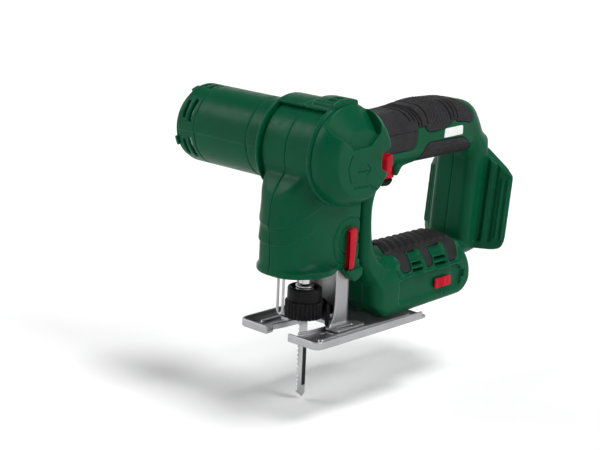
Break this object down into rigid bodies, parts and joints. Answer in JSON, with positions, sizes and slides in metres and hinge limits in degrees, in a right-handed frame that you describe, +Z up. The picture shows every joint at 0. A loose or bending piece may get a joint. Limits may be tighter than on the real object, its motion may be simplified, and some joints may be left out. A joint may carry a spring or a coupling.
{
  "type": "jigsaw power tool",
  "caption": "Cordless jigsaw with a D-shaped handle, a swinging saw head, a tool-free blade chuck and a pressed steel foot plate; its battery pack is left out.",
  "frame": {"origin": "centre of the foot plate's flat underside, under the middle of the plate, with the head in its jigsaw position", "axes": "+Z up from the sole, -Y the cutting direction, +X the left side of the tool as its user holds it"},
  "size_m": [0.1464, 0.2137, 0.1991],
  "materials": {
    "green_plastic": "satin bottle-green moulded nylon",
    "soft_rubber": "textured charcoal overmould",
    "red_plastic": "satin red moulded plastic",
    "black_plastic": "black moulded plastic",
    "white_plastic": "blank printed label",
    "steel": "satin zinc-plated steel",
    "cast_metal": "die-cast metal",
    "brass": "sintered bronze or brass",
    "circuit_board": "glass-fibre board"
  },
  "bodies": {
    "body": {"body_shell_left": "green_plastic", "body_shell_right": "green_plastic", "body_screw_1": "steel", "body_screw_2": "steel", "body_screw_3": "steel", "body_screw_4": "steel", "body_screw_5": "steel", "grip_upper": "soft_rubber", "grip_under": "soft_rubber", "grip_lower": "soft_rubber", "hub_cover": "green_plastic", "badge": "white_plastic", "switch_module": "black_plastic", "control_board": "circuit_board", "terminal_block": "black_plastic", "contact_1": "brass", "contact_2": "brass", "contact_3": "brass", "contact_4": "brass"},
    "trigger": {"trigger": "red_plastic", "trigger_tip": "black_plastic"},
    "head_lock": {"head_lock_button": "red_plastic"},
    "storage_slider": {"storage_slider": "red_plastic"},
    "head": {"head_shell_left": "green_plastic", "head_shell_right": "green_plastic", "head_screw_1": "steel", "head_screw_2": "steel", "motor_housing": "green_plastic", "barrel_end_cap": "green_plastic", "motor_can": "steel", "rear_bearing": "steel", "front_bearing": "steel", "crank_axle": "steel", "gear_frame": "cast_metal", "lower_bush": "brass", "upper_bush": "brass", "guard_wire": "steel"},
    "rotor": {"rotor_shaft": "steel", "armature": "cast_metal", "cooling_fan": "black_plastic", "pinion": "steel"},
    "crank": {"crank_gear": "steel"},
    "plunger": {"plunger": "steel", "yoke": "steel", "chuck_core": "steel", "blade": "steel"},
    "collar": {"chuck_collar": "black_plastic"},
    "foot_lever": {"foot_lever": "red_plastic", "lever_pin": "steel"},
    "foot": {"foot_bracket": "steel", "foot_plate": "steel", "chip_shield": "black_plastic"}
  },
  "joints": [
    {"name": "head_swing", "type": "hinge", "parent": "body", "child": "head", "pos_m": [0, -0.025, 0.1204], "axis": [-1, 0, 0], "range_deg": [0, 83]},
    {"name": "trigger_pull", "type": "slide", "parent": "body", "child": "trigger", "axis": [0, 1, 0], "range_m": [0, 0.005], "stiffness_N_per_m": 400, "springref_m": -0.004},
    {"name": "head_lock_push", "type": "slide", "parent": "body", "child": "head_lock", "axis": [-1, 0, 0], "range_m": [0, 0.003], "stiffness_N_per_m": 500, "springref_m": -0.003},
    {"name": "storage_slide", "type": "slide", "parent": "body", "child": "storage_slider", "axis": [0, 1, 0], "range_m": [0, 0.009]},
    {"name": "crank_spin", "type": "hinge", "parent": "head", "child": "crank", "pos_m": [0, -0.0305, 0.09704], "axis": [1, 0, 0], "continuous": true},
    {"name": "motor_spin", "type": "hinge", "parent": "head", "child": "rotor", "pos_m": [0, -0.025, 0.1204], "axis": [1, 0, 0], "continuous": true},
    {"name": "plunger_stroke", "type": "slide", "parent": "head", "child": "plunger", "axis": [0, 0, 1], "range_m": [-0.004, 0.016]},
    {"name": "collar_twist", "type": "hinge", "parent": "plunger", "child": "collar", "pos_m": [0, -0.0305, 0.02], "axis": [0, 0, 1], "range_deg": [0, 70], "stiffness_Nm_per_rad": 0.02, "springref_deg": -11.46},
    {"name": "foot_lever_turn", "type": "hinge", "parent": "head", "child": "foot_lever", "pos_m": [0, -0.0116, 0.062], "axis": [-1, 0, 0], "range_deg": [0, 60]},
    {"name": "foot_slide", "type": "slide", "parent": "head", "child": "foot", "axis": [0, 0, -1], "range_m": [0, 0.008]}
  ],
  "couplings": [
    {"joint": "crank_spin", "follows": "motor_spin", "ratio": -0.2}
  ]
}
